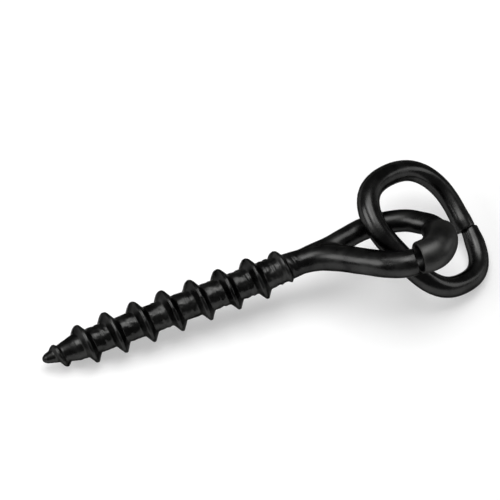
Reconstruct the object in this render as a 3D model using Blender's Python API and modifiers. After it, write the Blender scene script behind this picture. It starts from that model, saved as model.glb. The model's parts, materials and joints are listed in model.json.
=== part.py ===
"""Bait screw with a link ring: a small pointed screw whose head is an open wire eye.

Three pieces. The screw and its forked eye are one forging. A crimped sleeve closes the
eye's free end, with a small gap before the fork's short prong. A split ring threads the
eye and swings on it. The object lies on a surface, resting on its thread and the ring.

Screw frame: +Z runs along the screw from the tip, +X points in the eye's plane towards
the long prong, and +Y is the eye's normal. Ring frame: +Z is the ring's normal.
"""

import math

import bmesh
import bpy
from mathutils import Matrix, Vector

# Screw
SCREW_NECK = 0.01321            # tip to the point where the eye's prongs leave the axis
TIP_RADIUS = 0.00020
TIP_CONE = 0.0019
CORE_RADIUS_TIP = 0.00066
CORE_RADIUS_EYE = 0.00072
NECK_RADIUS = 0.000625
FORK_TAPER = 0.0012             # length over which the neck narrows inside the fork
THREAD_RADIUS = 0.00110
THREAD_PITCH = 0.001461
THREAD_ROOT_WIDTH = 0.00065
THREAD_CREST_WIDTH = 0.00008
THREAD_START = 0.00059          # mean place of the first crest
THREAD_END = 0.01285
THREAD_FADE_IN = 0.0026
THREAD_FADE_OUT = 0.0011
THREAD_LEAN = 0.00016           # the thread's turns lean along the axis by this much at the rim
THREAD_TOP = math.radians(52.8)  # direction round the screw where the turns lean to the eye

# Eye, in its own plane: (along the screw, towards the long prong) from the neck, as shares
# of its length and width
EYE_LENGTH = 0.0070
EYE_WIDTH = 0.0038
LONG_PRONG_LINE = ((0.0, 0.0), (0.14, 0.045), (0.27, 0.065), (0.39, 0.118), (0.525, 0.172),
                   (0.667, 0.150), (0.822, 0.035), (0.905, -0.118), (0.965, -0.275),
                   (0.980, -0.455), (0.950, -0.630), (0.893, -0.760), (0.832, -0.803),
                   (0.759, -0.793))
SHORT_PRONG_LINE = ((0.03, 0.0), (0.144, -0.040), (0.24, -0.142), (0.344, -0.313),
                    (0.444, -0.505), (0.546, -0.684), (0.657, -0.805), (0.759, -0.843))
LONG_PRONG_RADIUS = 0.00055
SHORT_PRONG_RADIUS = 0.00065
SHORT_PRONG_SWELL = 0.0012      # length over which the short prong grows out of the neck
SLEEVE_LENGTH = 0.0030
SLEEVE_WALL = 0.00032           # outside the wire, at the sleeve's widest
SLEEVE_START_WALL = 0.00015
SLEEVE_MOUTH_WALL = 0.00025
SLEEVE_WIDEST = 0.6             # share of the sleeve's length
SLEEVE_FIT = 0.00003            # radial clearance of the sleeve on the wire
SLEEVE_RECESS = 0.00035         # depth of the open mouth in front of the wire's end
EYE_GAP = 0.00020               # between the sleeve's mouth and the short prong's end

# Link ring
RING_HALF_LONG = 0.003332       # to the wire's centre line
RING_HALF_SHORT = 0.002723
# How the oval is from an ellipse: number of corners, share of the size, direction
RING_WAVES = ((2, 0.009, math.radians(77.5)), (3, 0.045, math.radians(18.8)),
              (4, 0.038, math.radians(30.3)), (5, 0.015, math.radians(5.2)))
RING_WIRE_RADIUS = 0.000525
RING_THINNING = 0.06            # the wire is thinner near the joint by this share
RING_JOINT = math.radians(-33.0)
RING_JOINT_GAP = 0.00006
RING_JOINT_STEP = 0.00024       # the wire's two ends miss each other by this much
RING_TILT = math.radians(31.22)
RING_TILT_TOWARDS = math.radians(-25.53)
RING_SPIN = math.radians(60.88)

# How the ring hangs in the eye; places on the eye are lengths along the long prong's line
RING_GAP = 0.00005              # ring to the long prong at rest
CROSSING_EYE = 0.6064 * EYE_LENGTH    # place under the ring's strand
CROSSING_RING = math.radians(140.0)   # place on the ring's oval over the eye's wire
CROSSING_SIDE = math.radians(37.9)    # the strand lies this far round the wire from its top
HINGE_PLACE = 0.6571 * EYE_LENGTH     # place where the ring swings

# How the screw lies
SCREW_RISE = math.radians(7.33)
SCREW_ROLL = math.radians(67.13)

# Mesh fineness
THREAD_STEPS_PER_TURN = 22
SHANK_SIDES = 28
WIRE_STEP = 0.00028
RING_STEPS = 64
WIRE_RESOLUTION = 3
WIRE_SIDES = 2 * (WIRE_RESOLUTION + 2)
OVERLAP = 0.00012               # how far joined shapes run into each other


def clear_scene():
    for obj in list(bpy.data.objects):
        bpy.data.objects.remove(obj, do_unlink=True)


def new_collection(name):
    collection = bpy.data.collections.new(name)
    bpy.context.scene.collection.children.link(collection)
    return collection


def material(name, colour, roughness, metallic):
    mat = bpy.data.materials.new(name)
    mat.use_nodes = True
    shader = mat.node_tree.nodes["Principled BSDF"]
    shader.inputs["Base Color"].default_value = (*colour, 1.0)
    shader.inputs["Roughness"].default_value = roughness
    shader.inputs["Metallic"].default_value = metallic
    return mat


# ---------------------------------------------------------------- shapes

def add_mesh(name, collection, vertices, faces):
    mesh = bpy.data.meshes.new(name)
    mesh.from_pydata(vertices, [], faces)
    mesh.validate()
    obj = bpy.data.objects.new(name, mesh)
    collection.objects.link(obj)
    return obj


def turned(name, profile, collection):
    """Turn a profile of (radius, height), from the eye end down to the tip, about +Z."""
    edges = [(i, i + 1) for i in range(len(profile) - 1)]
    mesh = bpy.data.meshes.new(name)
    mesh.from_pydata([(radius, 0.0, height) for radius, height in profile], edges, [])
    obj = bpy.data.objects.new(name, mesh)
    collection.objects.link(obj)
    screw = obj.modifiers.new("turn", "SCREW")
    screw.axis = "Z"
    screw.steps = SHANK_SIDES
    screw.render_steps = SHANK_SIDES
    screw.use_merge_vertices = True
    screw.merge_threshold = 0.000001
    return obj


def wire(name, points, radius, collection, shares=None):
    """A round wire through the points, with optional shares of the radius at each."""
    curve = bpy.data.curves.new(name, "CURVE")
    curve.dimensions = "3D"
    curve.bevel_depth = radius
    curve.bevel_resolution = WIRE_RESOLUTION
    curve.use_fill_caps = True
    spline = curve.splines.new("POLY")
    spline.points.add(len(points) - 1)
    for i, point in enumerate(points):
        spline.points[i].co = (*point, 1.0)
        spline.points[i].radius = shares[i] if shares else 1.0
    obj = bpy.data.objects.new(name, curve)
    collection.objects.link(obj)
    return obj


def as_mesh(obj, collection):
    """Replace an object by the closed mesh that it evaluates to."""
    bpy.context.view_layer.update()
    evaluated = obj.evaluated_get(bpy.context.evaluated_depsgraph_get())
    mesh = bpy.data.meshes.new_from_object(evaluated)
    soup = bmesh.new()
    soup.from_mesh(mesh)
    bmesh.ops.remove_doubles(soup, verts=soup.verts, dist=0.000001)
    bmesh.ops.recalc_face_normals(soup, faces=soup.faces)
    soup.to_mesh(mesh)
    soup.free()
    name = obj.name
    place = obj.matrix_world.copy()
    bpy.data.objects.remove(obj, do_unlink=True)
    result = bpy.data.objects.new(name, mesh)
    result.matrix_world = place
    collection.objects.link(result)
    return result


def combine(target, other, operation, cutters):
    """Join or cut the target with another mesh, which becomes a hidden guide."""
    if other.name not in cutters.objects:
        for owner in list(other.users_collection):
            owner.objects.unlink(other)
        cutters.objects.link(other)
    other.hide_render = True
    other.display_type = "WIRE"
    boolean = target.modifiers.new(other.name, "BOOLEAN")
    boolean.operation = operation
    boolean.object = other
    boolean.solver = "EXACT"


def smooth(obj):
    obj.data.shade_smooth()
    obj.data.set_sharp_from_angle(angle=math.radians(40.0))


# ---------------------------------------------------------------- screw

def core_radius(height):
    share = min(max((height - TIP_CONE) / (THREAD_END - TIP_CONE), 0.0), 1.0)
    return CORE_RADIUS_TIP + share * (CORE_RADIUS_EYE - CORE_RADIUS_TIP)


def core_profile():
    """Radius and height of the shank's outer side, from the neck's end down to the tip."""
    profile = [(0.0, SCREW_NECK + FORK_TAPER), (0.7 * NECK_RADIUS, SCREW_NECK + FORK_TAPER)]
    profile.append((NECK_RADIUS, SCREW_NECK))
    profile.append((NECK_RADIUS, THREAD_END + 0.5 * (SCREW_NECK - THREAD_END)))
    steps = 6
    for i in range(steps + 1):
        height = THREAD_END + (TIP_CONE - THREAD_END) * i / steps
        profile.append((core_radius(height), height))
    cone_angle = math.atan2(CORE_RADIUS_TIP - TIP_RADIUS, TIP_CONE - TIP_RADIUS)
    arc_steps = 4
    for i in range(arc_steps):
        turn = cone_angle + (math.pi / 2.0 - cone_angle) * i / arc_steps
        profile.append((TIP_RADIUS * math.cos(turn), TIP_RADIUS * (1.0 - math.sin(turn))))
    profile.append((0.0, 0.0))
    return profile


def thread_crest(height):
    """Crest radius along the screw: it grows from the tip and fades out at the neck."""
    fade_in = min(max((height - THREAD_START) / THREAD_FADE_IN, 0.0), 1.0)
    fade_out = min(max((THREAD_END - height) / THREAD_FADE_OUT, 0.0), 1.0)
    share = math.sqrt(fade_in) * math.sqrt(fade_out)
    root = core_radius(height) * (0.55 + 0.45 * fade_in) - OVERLAP
    return root + share * (THREAD_RADIUS - root)


def thread(collection):
    """A ridge swept right-handed round the core, its turns leaning along the axis."""
    turns = (THREAD_END - THREAD_START) / THREAD_PITCH
    steps = int(round(turns * THREAD_STEPS_PER_TURN))
    section = ((-0.5, 0.0), (-0.5, 1.0), (0.5, 1.0), (0.5, 0.0))
    vertices = []
    for i in range(steps + 1):
        angle = 2.0 * math.pi * turns * i / steps
        middle = THREAD_START + THREAD_PITCH * angle / (2.0 * math.pi)
        lean = THREAD_LEAN * math.cos(angle)
        crest = thread_crest(middle)
        root = min(core_radius(middle), middle * 0.5 + TIP_RADIUS) - OVERLAP
        full = (crest - root) / (THREAD_RADIUS - CORE_RADIUS_TIP + OVERLAP)
        for across, out in section:
            radius = root + out * max(crest - root, 0.00002)
            width = THREAD_CREST_WIDTH if out else THREAD_ROOT_WIDTH * (0.35 + 0.65 * full)
            turn = angle + THREAD_TOP
            vertices.append((radius * math.cos(turn), radius * math.sin(turn),
                             middle + lean + across * width))
    size = len(section)
    faces = [tuple(range(size)), tuple(range(steps * size + size - 1, steps * size - 1, -1))]
    for i in range(steps):
        for j in range(size):
            k = (j + 1) % size
            faces.append((i * size + k, i * size + j, (i + 1) * size + j, (i + 1) * size + k))
    obj = add_mesh("thread", collection, vertices, faces)
    return as_mesh(obj, collection)


# ---------------------------------------------------------------- eye

def smooth_line(shares):
    """A smooth line through an outline's points, sampled evenly at about WIRE_STEP."""
    points = [Vector((across * EYE_WIDTH, 0.0, SCREW_NECK + along * EYE_LENGTH))
              for along, across in shares]
    before = 2.0 * points[0] - points[1]
    after = 2.0 * points[-1] - points[-2]
    padded = [before] + points + [after]
    fine = []
    pieces = 24
    for first, second, third, fourth in zip(padded, padded[1:], padded[2:], padded[3:]):
        for i in range(pieces):
            t = i / pieces
            fine.append(0.5 * (2.0 * second + (third - first) * t
                               + (2.0 * first - 5.0 * second + 4.0 * third - fourth) * t * t
                               + (3.0 * second - first - 3.0 * third + fourth) * t ** 3))
    fine.append(points[-1])
    return fine


def line_length(line):
    return sum((b - a).length for a, b in zip(line, line[1:]))


def place_on(line, distance):
    """Point and direction at a distance along a line."""
    for a, b in zip(line, line[1:]):
        step = (b - a).length
        if distance <= step:
            return a + (b - a) * (distance / step), (b - a).normalized()
        distance -= step
    return line[-1], (line[-1] - line[-2]).normalized()


def stretch(line, start, end):
    """Even points along a line between two distances."""
    steps = max(int(math.ceil((end - start) / WIRE_STEP)), 2)
    return [place_on(line, start + (end - start) * i / steps)[0] for i in range(steps + 1)]


def long_prong(collection):
    line = smooth_line(LONG_PRONG_LINE)
    points = stretch(line, 0.0, line_length(line) - SLEEVE_RECESS)
    return as_mesh(wire("long_prong", points, LONG_PRONG_RADIUS, collection), collection)


def short_prong(collection):
    line = smooth_line(SHORT_PRONG_LINE)
    points = stretch(line, 0.0, line_length(line) - EYE_GAP)
    shares = []
    for point in points:
        out = min((point - points[0]).length / SHORT_PRONG_SWELL, 1.0)
        start = 0.96 * NECK_RADIUS / SHORT_PRONG_RADIUS
        shares.append(start + (1.0 - start) * math.sin(0.5 * math.pi * out))
    return as_mesh(wire("short_prong", points, SHORT_PRONG_RADIUS, collection, shares), collection)


def screw_eye(collection, cutters, frame, finish):
    body = as_mesh(turned("screw_eye", core_profile(), collection), collection)
    for piece in (thread(collection), long_prong(collection), short_prong(collection)):
        combine(body, piece, "UNION", cutters)
        piece.parent = frame
    body.parent = frame
    body.data.materials.append(finish)
    return body


def sleeve_radius(along):
    """Outer radius at a share of the sleeve's length: a barrel, widest past its middle."""
    past_widest = along > SLEEVE_WIDEST
    end_wall = SLEEVE_MOUTH_WALL if past_widest else SLEEVE_START_WALL
    reach = 1.0 - SLEEVE_WIDEST if past_widest else SLEEVE_WIDEST
    thinning = (SLEEVE_WALL - end_wall) * ((along - SLEEVE_WIDEST) / reach) ** 2
    return LONG_PRONG_RADIUS + SLEEVE_WALL - thinning


def eye_sleeve(collection, cutters, frame, finish):
    """The crimped sleeve: a bent tube whose mouth stands open past the wire's end."""
    line = smooth_line(LONG_PRONG_LINE)
    mouth = line_length(line)
    past = 2.0 * OVERLAP
    points = stretch(line, mouth - SLEEVE_LENGTH, mouth)
    widest = LONG_PRONG_RADIUS + SLEEVE_WALL
    shares = [sleeve_radius(i / (len(points) - 1)) / widest for i in range(len(points))]
    sleeve = as_mesh(wire("eye_sleeve", points, widest, collection, shares), collection)
    far = line[-1] + place_on(line, mouth)[1] * past
    bore_points = stretch(line, mouth - SLEEVE_LENGTH - past, mouth) + [far]
    bore_radius = (LONG_PRONG_RADIUS + SLEEVE_FIT) / math.cos(math.pi / WIRE_SIDES)
    bore = as_mesh(wire("sleeve_bore", bore_points, bore_radius, collection), collection)
    combine(sleeve, bore, "DIFFERENCE", cutters)
    bore.parent = frame
    sleeve.parent = frame
    sleeve.data.materials.append(finish)
    return sleeve


# ---------------------------------------------------------------- ring

def ring_point(angle):
    """The wire's centre line in the ring's plane: an oval with slight corners."""
    waves = sum(share * math.cos(corners * (angle - towards))
                for corners, share, towards in RING_WAVES)
    flat = Vector((RING_HALF_SHORT * math.cos(angle), RING_HALF_LONG * math.sin(angle), 0.0))
    return flat * (1.0 + waves)


def ring_wire_share(angle):
    return 1.0 - RING_THINNING * math.cos(angle - RING_JOINT)


def ring_turn():
    """Rotation of the ring's frame at rest: tilted, then spun in its own plane."""
    towards = Matrix.Rotation(RING_TILT_TOWARDS, 3, "Z")
    tilt = Matrix.Rotation(RING_TILT, 3, "Y")
    return towards @ tilt @ Matrix.Rotation(RING_SPIN, 3, "Z")


def ring_centre(screw_place):
    """The ring's strand lies on the long prong, so its place follows both wires' sizes."""
    on_wire = screw_place @ place_on(smooth_line(LONG_PRONG_LINE), CROSSING_EYE)[0]
    ring_radius = RING_WIRE_RADIUS * ring_wire_share(CROSSING_RING)
    lift = LONG_PRONG_RADIUS + ring_radius + RING_GAP
    away = Vector((-math.sin(CROSSING_SIDE), math.cos(CROSSING_SIDE), 0.0)) * lift
    strand = on_wire + screw_place.to_3x3() @ away
    return strand - ring_turn() @ ring_point(CROSSING_RING)


def link_ring(collection, frame, hinge, screw_place, finish):
    """An open oval of wire whose two ends face each other with a small step."""
    around = 2.0 * math.pi
    half_gap = 0.5 * RING_JOINT_GAP / (0.5 * (RING_HALF_LONG + RING_HALF_SHORT))
    points = []
    shares = []
    for i in range(RING_STEPS + 1):
        t = i / RING_STEPS
        angle = RING_JOINT + half_gap + (around - 2.0 * half_gap) * t
        point = ring_point(angle)
        step = RING_JOINT_STEP * max(0.0, (t - 0.85) / 0.15) ** 2
        points.append(point * (1.0 + step / point.length))
        shares.append(ring_wire_share(angle))
    ring = as_mesh(wire("link_ring", points, RING_WIRE_RADIUS, collection, shares), collection)
    place = Matrix.Translation(ring_centre(screw_place)) @ ring_turn().to_4x4()
    ring.data.transform(hinge.matrix_world.inverted() @ frame.matrix_world @ place)
    ring.parent = hinge
    ring.data.materials.append(finish)
    return ring


# ---------------------------------------------------------------- assembly

def empty(name, collection, place, parent=None):
    obj = bpy.data.objects.new(name, None)
    obj.empty_display_size = 0.002
    collection.objects.link(obj)
    obj.parent = parent
    obj.matrix_local = place
    bpy.context.view_layer.update()
    return obj


def stand_on_ground(root, nodes):
    """Move the root so that the object's box stands centred on the ground."""
    bpy.context.view_layer.update()
    graph = bpy.context.evaluated_depsgraph_get()
    low = Vector((math.inf,) * 3)
    high = Vector((-math.inf,) * 3)
    for node in nodes:
        evaluated = node.evaluated_get(graph)
        for vertex in evaluated.data.vertices:
            place = evaluated.matrix_world @ vertex.co
            low = Vector(map(min, low, place))
            high = Vector(map(max, high, place))
    root.location -= Vector(((low.x + high.x) / 2.0, (low.y + high.y) / 2.0, low.z))
    bpy.context.view_layer.update()


def main():
    clear_scene()
    parts = new_collection("bait_screw")
    cutters = new_collection("guides")
    screw_finish = material("screw_black", (0.022, 0.021, 0.019), 0.34, 0.9)
    sleeve_finish = material("sleeve_black", (0.020, 0.019, 0.017), 0.38, 0.9)
    ring_finish = material("ring_black", (0.018, 0.018, 0.016), 0.36, 0.9)

    lying = Matrix.Rotation(math.pi / 2.0 - SCREW_RISE, 4, "Y")
    screw_place = lying @ Matrix.Rotation(SCREW_ROLL, 4, "Z")
    root = empty("bait_screw_frame", parts, Matrix.Identity(4))
    screw_frame = empty("screw_frame", parts, screw_place, root)
    pivot, wire_way = place_on(smooth_line(LONG_PRONG_LINE), HINGE_PLACE)
    ring_hinge = empty("ring_hinge", parts, Matrix.Translation(screw_place @ pivot), root)

    screw = screw_eye(parts, cutters, screw_frame, screw_finish)
    sleeve = eye_sleeve(parts, cutters, screw_frame, sleeve_finish)
    ring = link_ring(parts, root, ring_hinge, screw_place, ring_finish)
    for node in (screw, sleeve, ring):
        smooth(node)
    stand_on_ground(root, (screw, sleeve, ring))

    axis = screw_frame.matrix_world.to_3x3() @ wire_way
    print("ring hinge at", tuple(ring_hinge.matrix_world.translation), "axis", tuple(axis))


main()
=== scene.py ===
"""Black bait screw with a link ring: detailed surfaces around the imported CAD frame.

Shapes are worked out in millimetres in the screw's own frame (+Z along the screw from its
tip, +X towards the long prong in the eye's plane) or in the ring's frame, and are scaled to
metres when they are placed.
"""

import json
import math

import bmesh
import bpy
from mathutils import Matrix, Vector, noise


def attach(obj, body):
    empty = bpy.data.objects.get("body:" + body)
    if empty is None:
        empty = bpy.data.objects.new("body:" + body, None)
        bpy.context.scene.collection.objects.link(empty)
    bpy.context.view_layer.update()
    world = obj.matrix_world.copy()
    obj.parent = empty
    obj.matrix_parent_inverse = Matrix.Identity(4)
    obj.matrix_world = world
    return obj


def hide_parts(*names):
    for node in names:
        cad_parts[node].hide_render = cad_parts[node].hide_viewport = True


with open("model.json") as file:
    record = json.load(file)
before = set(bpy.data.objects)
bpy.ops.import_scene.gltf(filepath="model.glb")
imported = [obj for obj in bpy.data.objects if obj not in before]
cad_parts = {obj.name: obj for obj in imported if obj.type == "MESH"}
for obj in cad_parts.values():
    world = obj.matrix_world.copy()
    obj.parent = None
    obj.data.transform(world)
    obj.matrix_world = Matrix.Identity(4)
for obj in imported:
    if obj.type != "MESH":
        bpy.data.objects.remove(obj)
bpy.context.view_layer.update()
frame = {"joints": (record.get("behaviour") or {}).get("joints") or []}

MM = 0.001

# Screw, as in the CAD model, in millimetres
SCREW_NECK = 13.21
TIP_RADIUS = 0.20
TIP_CUT = 0.16                  # the point is blunt by this much
TIP_BALL = 0.20                 # radius of the rounded point
TIP_CONE = 1.9
CORE_RADIUS_TIP = 0.66
CORE_RADIUS_EYE = 0.72
NECK_RADIUS = 0.625
NECK_BEFORE_END = 1.2           # the core narrows to the neck from here, before the thread's end
NECK_PAST = 0.3                 # to here, past the start of the fork
FORK_TAPER = 1.2
FORK_NARROWING = 0.3
THREAD_RADIUS = 1.10
THREAD_PITCH = 1.461
THREAD_ROOT_WIDTH = 0.65
THREAD_CREST_WIDTH = 0.13
THREAD_START = 0.59
THREAD_END = 12.85
THREAD_FADE_IN = 2.6
THREAD_FADE_OUT = 1.1
THREAD_LEAN = 0.16
THREAD_TOP = math.radians(52.8)
THREAD_FADE_POWER = 0.65
THREAD_LOW_ROOT = 0.45          # share of the root width that is left where the thread runs out
THREAD_KNEE = 0.05              # rounds the foot of the flanks, as a share of the height
THREAD_CROWN = 0.03             # rounds the crest
THREAD_WAVINESS = 0.03
# Low ridges and grooves left between the turns: place from the middle, width, height
ROLLING_RIDGES = ((-0.17, 0.06, 0.034), (-0.05, 0.04, -0.030), (0.16, 0.06, 0.020))
FLAT_DEPTH = 0.024
FLAT_STRETCH = 4.5              # how much shorter the flats are along the thread's lead
SCRATCH_DEPTH = 0.016
MARKS_RUN_IN = 0.6
MARKS_END = (0.7, 0.2)          # the marks fade between these places before the thread's end
# Grooves round the neck past the thread: place along the screw, depth
NECK_GROOVES = ((12.80, 0.045), (13.18, 0.040), (13.46, 0.018), (13.68, 0.016))
NECK_LEAN = 0.20
GROOVE_WIDTH = 0.06
BURR_WIDTH = 0.08
BURR_AWAY = 0.15                # from the groove to the low burr beside it

# Eye
EYE_LENGTH = 7.0
EYE_WIDTH = 3.8
LONG_PRONG_LINE = ((0.0, 0.0), (0.14, 0.045), (0.27, 0.065), (0.39, 0.118), (0.525, 0.172),
                   (0.667, 0.150), (0.822, 0.035), (0.905, -0.118), (0.965, -0.275),
                   (0.980, -0.455), (0.950, -0.630), (0.893, -0.760), (0.832, -0.803),
                   (0.759, -0.793))
SHORT_PRONG_LINE = ((0.03, 0.0), (0.144, -0.040), (0.24, -0.142), (0.344, -0.313),
                    (0.444, -0.505), (0.546, -0.684), (0.657, -0.805), (0.759, -0.843))
LONG_PRONG_RADIUS = 0.55
SHORT_PRONG_RADIUS = 0.65
SHORT_PRONG_SWELL = 1.2
SLEEVE_LENGTH = 3.0
SLEEVE_RADIUS = 0.87
SLEEVE_START_RADIUS = 0.64
SLEEVE_MOUTH_RADIUS = 0.80
SLEEVE_WIDEST = 0.6
SLEEVE_BORE = 0.585
SLEEVE_SLANT_TURN = math.radians(37.0)    # the mouth is cut back on this side of the eye
SLEEVE_RECESS = 1.40            # the wire ends this far behind the mouth
SLEEVE_WAVINESS = 0.020
EYE_GAP = 0.20

# Link ring
RING_HALF_LONG = 3.332
RING_HALF_SHORT = 2.723
RING_WAVES = ((2, 0.009, math.radians(77.5)), (3, 0.045, math.radians(18.8)),
              (4, 0.038, math.radians(30.3)), (5, 0.015, math.radians(5.2)))
RING_WIRE_RADIUS = 0.525
RING_THINNING = 0.06
RING_JOINT = math.radians(-33.0)
RING_JOINT_GAP = -0.10          # the ends press together and pass by
RING_JOINT_STEP = 0.24          # one end stands outside the other
RING_END_ROUNDS = (0.07, 0.12)
RING_END_FLARE = 0.05
RING_END_TAPER = 0.12
RING_TILT = math.radians(31.22)
RING_TILT_TOWARDS = math.radians(-25.53)
RING_SPIN = math.radians(60.88)
RING_GAP = 0.05
CROSSING_EYE = 0.6064 * EYE_LENGTH
CROSSING_RING = math.radians(140.0)
CROSSING_SIDE = math.radians(37.9)
HINGE_PLACE = 0.6571 * EYE_LENGTH
SCREW_RISE = math.radians(7.33)
SCREW_ROLL = math.radians(67.13)

# Fineness of the meshes
VOXEL = 0.036
FINE_SMOOTHING = 3
FORK_SMOOTHING = 90
SPLINE_PIECES = 24
ROWS_PER_PITCH = 44
SHANK_SIDES = 120
TUBE_SIDES = 40
TUBE_STEP = 0.05
SLEEVE_STEPS = 44
SLEEVE_SIDES = 64
RING_STEPS = 720
RING_SIDES = 48
WELD = 0.0005


# ---------------------------------------------------------------- small helpers

def soft_step(value, low, high):
    """0 below low, 1 above high, with smooth ends."""
    t = min(max((value - low) / (high - low), 0.0), 1.0)
    return t * t * (3.0 - 2.0 * t)


def bump(value, centre, width):
    return math.exp(-((value - centre) / width) ** 2)


def wobble(point, wavelength, seed=0.0):
    """Smooth noise of about -1 to 1 that changes over the wavelength."""
    return noise.noise(Vector(point) / wavelength + Vector((seed, 1.7 * seed, -seed)))


def mesh_object(name, vertices, faces):
    mesh = bpy.data.meshes.new(name)
    mesh.from_pydata(vertices, [], faces)
    obj = bpy.data.objects.new(name, mesh)
    bpy.context.scene.collection.objects.link(obj)
    return obj


def weld(obj, distance):
    soup = bmesh.new()
    soup.from_mesh(obj.data)
    bmesh.ops.remove_doubles(soup, verts=soup.verts, dist=distance)
    bmesh.ops.dissolve_degenerate(soup, edges=soup.edges, dist=distance)
    bmesh.ops.recalc_face_normals(soup, faces=soup.faces)
    soup.to_mesh(obj.data)
    soup.free()


def bake_modifiers(obj):
    """Replace the object's mesh by what its modifiers make of it."""
    graph = bpy.context.evaluated_depsgraph_get()
    mesh = bpy.data.meshes.new_from_object(obj.evaluated_get(graph))
    obj.modifiers.clear()
    obj.data = mesh


# ---------------------------------------------------------------- lines and tubes

def smooth_line(shares):
    """The eye's centre line through its outline points, as fine points in the eye's plane."""
    points = [Vector((across * EYE_WIDTH, 0.0, SCREW_NECK + along * EYE_LENGTH))
              for along, across in shares]
    padded = [2.0 * points[0] - points[1]] + points + [2.0 * points[-1] - points[-2]]
    fine = []
    for first, second, third, fourth in zip(padded, padded[1:], padded[2:], padded[3:]):
        for i in range(SPLINE_PIECES):
            t = i / SPLINE_PIECES
            fine.append(0.5 * (2.0 * second + (third - first) * t
                               + (2.0 * first - 5.0 * second + 4.0 * third - fourth) * t * t
                               + (3.0 * second - first - 3.0 * third + fourth) * t ** 3))
    fine.append(points[-1])
    return fine


def line_length(line):
    return sum((b - a).length for a, b in zip(line, line[1:]))


def place_on(line, distance):
    """Point and direction at a distance along a line, which runs on straight past its ends."""
    if distance < 0.0:
        way = (line[1] - line[0]).normalized()
        return line[0] + way * distance, way
    for a, b in zip(line, line[1:]):
        step = (b - a).length
        if distance <= step:
            return a + (b - a) * (distance / step), (b - a).normalized()
        distance -= step
    way = (line[-1] - line[-2]).normalized()
    return line[-1] + way * distance, way


def smooth_place(line, distance):
    """As place_on, with the direction averaged over a short stretch."""
    reach = 0.12
    before = place_on(line, distance - reach)[0]
    after = place_on(line, distance + reach)[0]
    return place_on(line, distance)[0], (after - before).normalized()


def tube(name, line, stations, normal, sides=TUBE_SIDES):
    """A surface of rings along a line. A station is (distance, radius function of angle)."""
    vertices = []
    for distance, radius_at in stations:
        centre, way = smooth_place(line, distance)
        across = way.cross(normal).normalized()
        up = across.cross(way).normalized()
        for j in range(sides):
            angle = 2.0 * math.pi * j / sides
            spoke = across * math.cos(angle) + up * math.sin(angle)
            vertices.append(centre + spoke * radius_at(angle, centre, spoke))
    faces = []
    for i in range(len(stations) - 1):
        for j in range(sides):
            k = (j + 1) % sides
            faces.append((i * sides + j, i * sides + k, (i + 1) * sides + k, (i + 1) * sides + j))
    faces.append(tuple(range(sides - 1, -1, -1)))
    last = (len(stations) - 1) * sides
    faces.append(tuple(range(last, last + sides)))
    obj = mesh_object(name, vertices, faces)
    weld(obj, WELD)
    return obj


def rounded_end(radius, round_over, steps=5):
    """(inset from the end, share of the radius) pairs that round an end's edge."""
    pairs = []
    for i in range(steps + 1):
        turn = 0.5 * math.pi * i / steps
        inset = round_over * (1.0 - math.sin(turn))
        pairs.append((inset, 1.0 - round_over / radius * (1.0 - math.cos(turn))))
    return pairs


# ---------------------------------------------------------------- screw and eye

def core_radius(height):
    if height < TIP_CONE:
        slope = (CORE_RADIUS_TIP - TIP_RADIUS) / (TIP_CONE - TIP_RADIUS)
        cone = TIP_RADIUS + slope * (height - TIP_RADIUS)
        below = max(TIP_CUT + TIP_BALL - height, 0.0)
        ball = math.sqrt(max(TIP_BALL ** 2 - below ** 2, 0.0))
        return ball if height < TIP_CUT + 0.8 * TIP_BALL else cone
    share = min((height - TIP_CONE) / (THREAD_END - TIP_CONE), 1.0)
    radius = CORE_RADIUS_TIP + share * (CORE_RADIUS_EYE - CORE_RADIUS_TIP)
    neck = soft_step(height, THREAD_END - NECK_BEFORE_END, SCREW_NECK + NECK_PAST)
    radius += neck * (NECK_RADIUS - radius)
    fork = soft_step(height, SCREW_NECK, SCREW_NECK + FORK_TAPER)
    return radius * (1.0 - FORK_NARROWING * fork)


def thread_rise(height, offset):
    """How far the thread stands out of the core at an offset from its crest line."""
    fade_in = min(max((height - THREAD_START) / THREAD_FADE_IN, 0.0), 1.0)
    fade_out = min(max((THREAD_END - height) / THREAD_FADE_OUT, 0.0), 1.0)
    full = fade_in ** THREAD_FADE_POWER * math.sqrt(fade_out)
    if full <= 0.0:
        return 0.0
    half_root = 0.5 * THREAD_ROOT_WIDTH * (THREAD_LOW_ROOT + (1.0 - THREAD_LOW_ROOT) * full)
    half_crest = 0.5 * THREAD_CREST_WIDTH
    t = (abs(offset) - half_crest) / (half_root - half_crest)
    ridge = 1.0 - t
    if ridge < 1.0:
        ridge = 0.5 * (ridge + math.sqrt(ridge * ridge + THREAD_KNEE * THREAD_KNEE))
    ridge = min(ridge, 1.0 + THREAD_CROWN * (1.0 - abs(offset) / half_crest))
    return full * (THREAD_RADIUS - core_radius(height)) * ridge


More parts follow.
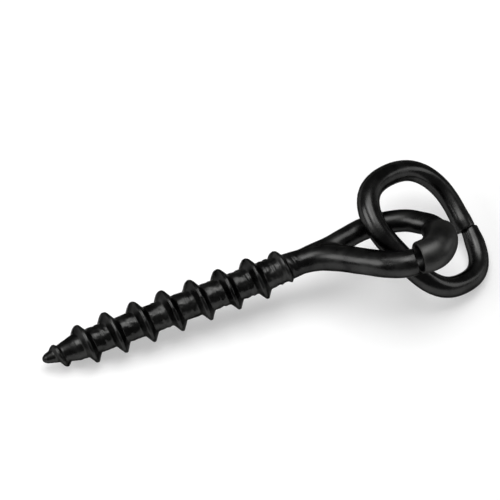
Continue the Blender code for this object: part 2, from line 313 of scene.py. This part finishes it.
def forging_marks(height, angle, offset, point):
    """Low ridges along the thread and short cross marks on the core, as rolling leaves them."""
    side = THREAD_PITCH / 2.0 - abs(offset) if offset > 0.0 else abs(offset) - THREAD_PITCH / 2.0
    ridges = sum(rise_of * bump(side, at, wide) for at, wide, rise_of in ROLLING_RIDGES)
    patch = soft_step(wobble(point, 1.1, 3.1), -0.35, 0.25)
    along = (height - THREAD_PITCH * angle / (2.0 * math.pi)) * FLAT_STRETCH
    around = (math.cos(angle), math.sin(angle), along)
    flat = FLAT_DEPTH * wobble(around, 0.9, 7.7)
    scratches = SCRATCH_DEPTH * wobble((point[0] * 3.0, point[1] * 3.0, height * 3.0), 0.5, 1.3)
    threaded = soft_step(height, TIP_CONE - MARKS_RUN_IN, TIP_CONE + MARKS_RUN_IN)
    threaded *= 1.0 - soft_step(height, THREAD_END - MARKS_END[0], THREAD_END - MARKS_END[1])
    rise = threaded * (patch * ridges + flat + scratches)
    lean = height + NECK_LEAN * math.cos(angle)
    upper = soft_step(math.sin(angle), 0.0, 0.8)
    for place, depth in NECK_GROOVES:
        rise -= upper * depth * bump(lean, place, GROOVE_WIDTH)
        rise += 0.5 * upper * depth * bump(lean, place + BURR_AWAY, BURR_WIDTH)
    return rise


def shank():
    """The screw from tip to fork, on a grid whose rows run along the thread."""
    end = SCREW_NECK + FORK_TAPER
    first = -int(math.ceil((THREAD_START + 2.0 * THREAD_LEAN) / THREAD_PITCH + 1.0)) * ROWS_PER_PITCH
    last = int(math.ceil((end - THREAD_START) / THREAD_PITCH + 1.0)) * ROWS_PER_PITCH
    rows = last - first + 1
    vertices = []
    for i in range(first, last + 1):
        to_crest = i / ROWS_PER_PITCH
        offset = (to_crest - round(to_crest)) * THREAD_PITCH
        for j in range(SHANK_SIDES):
            share = j / SHANK_SIDES
            angle = 2.0 * math.pi * share
            height = THREAD_START + THREAD_PITCH * (to_crest + share) + THREAD_LEAN * math.cos(angle)
            turn = angle + THREAD_TOP
            if height <= TIP_CUT or height >= end:
                vertices.append((0.0, 0.0, min(max(height, TIP_CUT), end)))
                continue
            radius = core_radius(height)
            point = (radius * math.cos(turn), radius * math.sin(turn), height)
            radius += thread_rise(height, offset) * (1.0 + THREAD_WAVINESS * wobble(point, 1.3, 5.0))
            radius += forging_marks(height, angle, offset, point)
            vertices.append((radius * math.cos(turn), radius * math.sin(turn), height))
    faces = []
    for i in range(rows - 1):
        for j in range(SHANK_SIDES - 1):
            a = i * SHANK_SIDES + j
            faces.append((a, a + 1, a + 1 + SHANK_SIDES, a + SHANK_SIDES))
    for i in range(rows - 1 - ROWS_PER_PITCH):
        a = i * SHANK_SIDES + SHANK_SIDES - 1
        b = (i + ROWS_PER_PITCH) * SHANK_SIDES
        faces.append((a, b, b + SHANK_SIDES, a + SHANK_SIDES))
    obj = mesh_object("shank", vertices, faces)
    weld(obj, WELD)
    return obj


def prong(name, line, radius, start_share, swell, length, round_over, waviness):
    """One prong of the eye: a slightly wavy wire with a cut end."""
    steps = int(length / TUBE_STEP)

    def radius_function(share):
        def at(angle, centre, spoke):
            place = centre + spoke * radius
            stretched = (place.x, place.y * 1.6, place.z)
            return radius * share * (1.0 + waviness * wobble(stretched, 1.1, 2.3)
                                     + 0.4 * waviness * wobble(stretched, 0.45, 9.1))
        return at

    stations = []
    for i in range(steps):
        distance = (length - round_over) * i / steps
        swollen = math.sin(0.5 * math.pi * min(distance / swell, 1.0))
        grow = start_share + (1.0 - start_share) * swollen
        stations.append((distance, radius_function(grow)))
    for inset, share in rounded_end(radius, round_over):
        stations.append((length - inset, radius_function(share)))
    stations.sort(key=lambda station: station[0])
    return tube(name, line, stations, Vector((0.0, 1.0, 0.0)))


def fork_weights(obj):
    """Vertex group over the crotch of the fork, where the forging is well rounded."""
    group = obj.vertex_groups.new(name="fork")
    for vertex in obj.data.vertices:
        height = vertex.co.z - SCREW_NECK
        weight = soft_step(height, -0.15, 0.5) * (1.0 - soft_step(height, 2.6, 3.6))
        if weight > 0.0:
            group.add([vertex.index], weight, "REPLACE")


def add_smoothing(obj, iterations, group=""):
    modifier = obj.modifiers.new("smooth", "SMOOTH")
    modifier.factor = 0.5
    modifier.iterations = iterations
    modifier.vertex_group = group


def screw_eye():
    long_line = smooth_line(LONG_PRONG_LINE)
    short_line = smooth_line(SHORT_PRONG_LINE)
    body = shank()
    long_end = line_length(long_line) - SLEEVE_RECESS
    short_end = line_length(short_line) - EYE_GAP
    start = 0.96 * NECK_RADIUS / SHORT_PRONG_RADIUS
    pieces = [body,
              prong("long", long_line, LONG_PRONG_RADIUS, 1.0, 1.0, long_end, 0.06, 0.025),
              prong("short", short_line, SHORT_PRONG_RADIUS, start, SHORT_PRONG_SWELL,
                    short_end, 0.07, 0.035)]
    soup = bmesh.new()
    for piece in pieces:
        soup.from_mesh(piece.data)
    soup.to_mesh(body.data)
    soup.free()
    for piece in pieces[1:]:
        bpy.data.objects.remove(piece, do_unlink=True)
    body.name = "screw_and_eye"
    remesh = body.modifiers.new("remesh", "REMESH")
    remesh.mode = "VOXEL"
    remesh.voxel_size = VOXEL
    remesh.use_smooth_shade = True
    bake_modifiers(body)
    fork_weights(body)
    add_smoothing(body, FINE_SMOOTHING)
    add_smoothing(body, FORK_SMOOTHING, "fork")
    bake_modifiers(body)
    return body


def sleeve():
    """The crimped sleeve: a barrel-shaped tube with a rolled, open mouth."""
    line = smooth_line(LONG_PRONG_LINE)
    mouth = line_length(line)
    start = mouth - SLEEVE_LENGTH
    lip = 0.5 * (SLEEVE_MOUTH_RADIUS - SLEEVE_BORE)
    profile = []
    for i in range(SLEEVE_STEPS + 1):
        t = i / SLEEVE_STEPS
        end_radius = SLEEVE_MOUTH_RADIUS if t > SLEEVE_WIDEST else SLEEVE_START_RADIUS
        reach = 1.0 - SLEEVE_WIDEST if t > SLEEVE_WIDEST else SLEEVE_WIDEST
        radius = SLEEVE_RADIUS - (SLEEVE_RADIUS - end_radius) * ((t - SLEEVE_WIDEST) / reach) ** 2
        profile.append((start + (SLEEVE_LENGTH - lip) * t, radius))
    for i in range(1, 8):
        turn = math.pi * i / 8.0
        radius = SLEEVE_BORE + lip * (1.0 + math.cos(turn))
        profile.append((mouth - lip + lip * math.sin(turn), radius))
    for i in range(SLEEVE_STEPS + 1):
        profile.append((mouth - lip - (SLEEVE_LENGTH - lip) * i / SLEEVE_STEPS, SLEEVE_BORE))
    vertices = []
    for distance, radius in profile:
        near_start = 1.0 - soft_step(distance - start, 0.0, 0.9)
        near_mouth = soft_step(distance - start, SLEEVE_LENGTH - 1.0, SLEEVE_LENGTH)
        for j in range(SLEEVE_SIDES):
            angle = 2.0 * math.pi * j / SLEEVE_SIDES
            slant = near_start * (0.15 + 0.18 * math.sin(angle) - 0.38 * math.cos(angle))
            slant += 0.15 * near_mouth * math.cos(angle + SLEEVE_SLANT_TURN) + 0.04 * near_mouth
            centre, way = smooth_place(line, distance + slant)
            across = way.cross(Vector((0.0, 1.0, 0.0))).normalized()
            spoke = across * math.cos(angle) + Vector((0.0, math.sin(angle), 0.0))
            place = centre + spoke * radius
            waviness = SLEEVE_WAVINESS if radius > SLEEVE_BORE else 0.0
            vertices.append(centre + spoke * radius * (1.0 + waviness * wobble(place, 0.9, 4.4)))
    faces = []
    count = len(profile)
    for i in range(count):
        this = i * SLEEVE_SIDES
        following = (i + 1) % count * SLEEVE_SIDES
        for j in range(SLEEVE_SIDES):
            k = (j + 1) % SLEEVE_SIDES
            faces.append((this + j, this + k, following + k, following + j))
    obj = mesh_object("crimped_sleeve", vertices, faces)
    weld(obj, WELD)
    return obj


# ---------------------------------------------------------------- ring

def ring_point(angle):
    waves = sum(share * math.cos(corners * (angle - towards))
                for corners, share, towards in RING_WAVES)
    flat = Vector((RING_HALF_SHORT * math.cos(angle), RING_HALF_LONG * math.sin(angle), 0.0))
    return flat * (1.0 + waves)


def ring_wire_share(angle):
    return 1.0 - RING_THINNING * math.cos(angle - RING_JOINT)


def link_ring():
    """The split ring: one wire bent round until its ends meet, one a little outside the other."""
    half_gap = 0.5 * RING_JOINT_GAP / (0.5 * (RING_HALF_LONG + RING_HALF_SHORT))
    line = []
    shares = []
    for i in range(RING_STEPS + 1):
        t = i / RING_STEPS
        angle = RING_JOINT + half_gap + (2.0 * math.pi - 2.0 * half_gap) * t
        point = ring_point(angle)
        step = RING_JOINT_STEP * max(0.0, (t - 0.85) / 0.15) ** 2
        line.append(point * (1.0 + step / point.length))
        shares.append(ring_wire_share(angle))
    length = line_length(line)
    thick_round, thin_round = RING_END_ROUNDS

    def radius_function(t, share):
        base = RING_WIRE_RADIUS * shares[min(int(t * RING_STEPS), RING_STEPS)] * share
        flare = 1.0 + RING_END_FLARE * bump(t * length, 0.45, 0.35)
        taper = 1.0 - RING_END_TAPER * soft_step(t * length, length - 0.9, length - 0.1)

        def at(angle, centre, spoke):
            place = centre + spoke * RING_WIRE_RADIUS
            wave = 0.012 * wobble(place, 1.4, 6.6) + 0.006 * wobble(place, 0.5, 8.2)
            return base * flare * taper * (1.0 + wave)
        return at

    stations = []
    for inset, share in rounded_end(RING_WIRE_RADIUS, thick_round):
        stations.append((inset, radius_function(inset / length, share)))
    count = int(length / TUBE_STEP)
    for i in range(1, count):
        distance = thick_round + (length - thick_round - thin_round) * i / count
        stations.append((distance, radius_function(distance / length, 1.0)))
    for inset, share in rounded_end(RING_WIRE_RADIUS, thin_round):
        stations.append((length - inset, radius_function(1.0 - inset / length, share)))
    stations.sort(key=lambda station: station[0])
    return tube("split_link_ring", line, stations, Vector((0.0, 0.0, 1.0)), RING_SIDES)


# ---------------------------------------------------------------- places

def screw_turn():
    lying = Matrix.Rotation(math.pi / 2.0 - SCREW_RISE, 3, "Y")
    return lying @ Matrix.Rotation(SCREW_ROLL, 3, "Z")


def ring_turn():
    towards = Matrix.Rotation(RING_TILT_TOWARDS, 3, "Z")
    tilt = Matrix.Rotation(RING_TILT, 3, "Y")
    return towards @ tilt @ Matrix.Rotation(RING_SPIN, 3, "Z")


def screw_tip():
    """Place of the tip in the CAD model's frame, in metres, from the ring's joint."""
    pivot = place_on(smooth_line(LONG_PRONG_LINE), HINGE_PLACE)[0]
    return Vector(frame["joints"][0]["pos_m"]) - screw_turn() @ pivot * MM


def ring_centre():
    on_wire = place_on(smooth_line(LONG_PRONG_LINE), CROSSING_EYE)[0]
    lift = LONG_PRONG_RADIUS + RING_WIRE_RADIUS * ring_wire_share(CROSSING_RING) + RING_GAP
    away = Vector((-math.sin(CROSSING_SIDE), math.cos(CROSSING_SIDE), 0.0)) * lift
    strand = screw_turn() @ (on_wire + away) - ring_turn() @ ring_point(CROSSING_RING)
    return screw_tip() + strand * MM


def place(obj, turn, location):
    """Scale a piece's mesh from millimetres to metres and put it in the CAD model's frame."""
    obj.data.transform(Matrix.Scale(MM, 4))
    obj.matrix_world = Matrix.Translation(location) @ turn.to_4x4()
    for polygon in obj.data.polygons:
        polygon.use_smooth = True


# ---------------------------------------------------------------- materials

def node(tree, kind, **inputs):
    made = tree.nodes.new(kind)
    for name, value in inputs.items():
        made.inputs[name.replace("_", " ")].default_value = value
    return made


def spread(tree, source, low, high):
    """The middle range of a noise, spread from low to high."""
    ramp = tree.nodes.new("ShaderNodeMapRange")
    ramp.inputs["From Min"].default_value = 0.3
    ramp.inputs["From Max"].default_value = 0.7
    ramp.inputs["To Min"].default_value = low
    ramp.inputs["To Max"].default_value = high
    tree.links.new(source, ramp.inputs["Value"])
    return ramp.outputs["Result"]


def black_finish(name, dark, light, roughness, grain):
    """Satin black plating: fine grain, faint streaks, and clouded colour and roughness."""
    mat = bpy.data.materials.new(name)
    mat.use_nodes = True
    tree = mat.node_tree
    shader = tree.nodes["Principled BSDF"]
    shader.inputs["Metallic"].default_value = 1.0
    shader.inputs["Specular Tint"].default_value = (0.35, 0.35, 0.35, 1.0)
    place_of = tree.nodes.new("ShaderNodeTexCoord").outputs["Object"]

    cloud = node(tree, "ShaderNodeTexNoise", Scale=900.0, Detail=4.0, Roughness=0.6)
    fine = node(tree, "ShaderNodeTexNoise", Scale=9000.0, Detail=3.0, Roughness=0.65)
    streak_map = node(tree, "ShaderNodeMapping", Scale=grain)
    streaks = node(tree, "ShaderNodeTexNoise", Scale=1.0, Detail=3.0, Roughness=0.55)
    tree.links.new(place_of, cloud.inputs["Vector"])
    tree.links.new(place_of, fine.inputs["Vector"])
    tree.links.new(place_of, streak_map.inputs["Vector"])
    tree.links.new(streak_map.outputs["Vector"], streaks.inputs["Vector"])

    tint = tree.nodes.new("ShaderNodeMix")
    tint.data_type = "RGBA"
    tint.inputs["A"].default_value = (*dark, 1.0)
    tint.inputs["B"].default_value = (*light, 1.0)
    shade = spread(tree, cloud.outputs["Fac"], 0.0, 1.0)
    tree.links.new(shade, tint.inputs["Factor"])
    tree.links.new(tint.outputs["Result"], shader.inputs["Base Color"])

    rough = node(tree, "ShaderNodeMath")
    rough.operation = "ADD"
    tree.links.new(spread(tree, cloud.outputs["Fac"], *roughness), rough.inputs[0])
    tree.links.new(spread(tree, streaks.outputs["Fac"], -0.04, 0.04), rough.inputs[1])
    tree.links.new(rough.outputs["Value"], shader.inputs["Roughness"])

    relief = node(tree, "ShaderNodeMath")
    relief.operation = "MULTIPLY_ADD"
    relief.inputs[1].default_value = 0.35
    tree.links.new(fine.outputs["Fac"], relief.inputs[0])
    tree.links.new(streaks.outputs["Fac"], relief.inputs[2])
    raised = node(tree, "ShaderNodeBump", Strength=0.35, Distance=0.000012)
    tree.links.new(relief.outputs["Value"], raised.inputs["Height"])
    tree.links.new(raised.outputs["Normal"], shader.inputs["Normal"])
    return mat


def floor_finish():
    """Plain matt white card, lit a little from within so that it stays pale."""
    mat = bpy.data.materials.new("white_card")
    mat.use_nodes = True
    tree = mat.node_tree
    shader = tree.nodes["Principled BSDF"]
    shader.inputs["Base Color"].default_value = (0.64, 0.64, 0.64, 1.0)
    shader.inputs["Emission Color"].default_value = (1.0, 1.0, 1.0, 1.0)
    shader.inputs["Emission Strength"].default_value = 0.37
    shader.inputs["Roughness"].default_value = 0.9
    shader.inputs["Specular IOR Level"].default_value = 0.1
    return mat


# ---------------------------------------------------------------- set, in metres

CAMERA_AZIMUTH = math.radians(-27.28)
CAMERA_ELEVATION = math.radians(56.35)
CAMERA_ROLL = math.radians(6.2)
CAMERA_LENS = 300.0
CAMERA_SENSOR = 36.0
PICTURE_WIDTH = 0.0242          # width of the view at the object
AIM_FROM_TIP = Vector((0.011613, 0.001999, 0.000813))   # middle of the view
LIGHTS_AIM = Vector((0.0, 0.0, 0.002))
LIGHTS_AWAY = 0.25
FLOOR_REACH = 1.0


def soft_box(name, towards, size, radiance, shadow):
    """A soft box in a direction given by shares of the view's right, up and back axes."""
    right, up, back = camera_axes()
    way = (right * towards[0] + up * towards[1] + back * towards[2]).normalized()
    light = bpy.data.lights.new(name, "AREA")
    light.shape = "RECTANGLE"
    light.size = size[0]
    light.size_y = size[1]
    light.energy = radiance * math.pi * size[0] * size[1]
    light.use_shadow = shadow
    obj = bpy.data.objects.new(name, light)
    bpy.context.scene.collection.objects.link(obj)
    obj.location = LIGHTS_AIM + way * LIGHTS_AWAY
    obj.rotation_mode = "QUATERNION"
    obj.rotation_quaternion = way.to_track_quat("Z", "Y")


def camera_axes():
    """The view's right, up and back directions."""
    reach = math.cos(CAMERA_ELEVATION)
    back = Vector((math.sin(CAMERA_AZIMUTH) * reach, -math.cos(CAMERA_AZIMUTH) * reach,
                   math.sin(CAMERA_ELEVATION)))
    level = Vector((math.cos(CAMERA_AZIMUTH), math.sin(CAMERA_AZIMUTH), 0.0))
    over = back.cross(level)
    right = level * math.cos(CAMERA_ROLL) + over * math.sin(CAMERA_ROLL)
    return right, back.cross(right), back


def add_camera():
    data = bpy.data.cameras.new("camera")
    data.lens = CAMERA_LENS
    data.sensor_width = CAMERA_SENSOR
    camera = bpy.data.objects.new("camera", data)
    bpy.context.scene.collection.objects.link(camera)
    right, up, back = camera_axes()
    distance = PICTURE_WIDTH * CAMERA_LENS / CAMERA_SENSOR
    turn = Matrix((right, up, back)).transposed().to_4x4()
    camera.matrix_world = Matrix.Translation(screw_tip() + AIM_FROM_TIP + back * distance) @ turn
    data.clip_start = 0.001
    data.clip_end = 10.0
    bpy.context.scene.camera = camera


def add_stage():
    corners = [(x * FLOOR_REACH, y * FLOOR_REACH, 0.0) for x, y in ((-1, -1), (1, -1), (1, 1), (-1, 1))]
    floor = mesh_object("floor", corners, [(0, 1, 2, 3)])
    floor.data.materials.append(floor_finish())
    world = bpy.data.worlds.new("studio")
    world.use_nodes = True
    world.node_tree.nodes["Background"].inputs["Color"].default_value = (1.0, 1.0, 1.0, 1.0)
    world.node_tree.nodes["Background"].inputs["Strength"].default_value = 0.12
    bpy.context.scene.world = world
    bpy.context.scene.view_settings.view_transform = "Standard"
    soft_box("overhead", (0.0, 0.67, 0.73), (0.24, 0.18), 3.6, True)
    soft_box("left", (-0.80, 0.15, 0.58), (0.15, 0.14), 4.4, True)
    soft_box("right", (0.94, 0.31, 0.14), (0.12, 0.09), 2.4, False)
    soft_box("near_camera", (-0.15, 0.52, 0.84), (0.10, 0.06), 3.5, False)


# ---------------------------------------------------------------- the object

def finish_piece(piece, body, cad_node, material):
    piece.data.materials.clear()
    piece.data.materials.append(material)
    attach(piece, body)
    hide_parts(cad_node)


def main():
    along_screw = (1800.0, 1800.0, 260.0)
    evenly = (1200.0, 1200.0, 1200.0)
    forged = black_finish("forged_black", (0.020, 0.020, 0.020), (0.052, 0.052, 0.051),
                          (0.22, 0.40), along_screw)
    crimped = black_finish("crimped_black", (0.036, 0.036, 0.036), (0.066, 0.066, 0.064),
                           (0.34, 0.48), evenly)
    drawn = black_finish("drawn_black", (0.026, 0.026, 0.026), (0.050, 0.050, 0.049),
                         (0.18, 0.32), evenly)

    screw = screw_eye()
    place(screw, screw_turn(), screw_tip())
    finish_piece(screw, "screw", "screw_eye", forged)
    collar = sleeve()
    place(collar, screw_turn(), screw_tip())
    finish_piece(collar, "screw", "eye_sleeve", crimped)
    ring = link_ring()
    place(ring, ring_turn(), ring_centre())
    finish_piece(ring, "ring", "link_ring", drawn)

    add_stage()
    add_camera()


main()
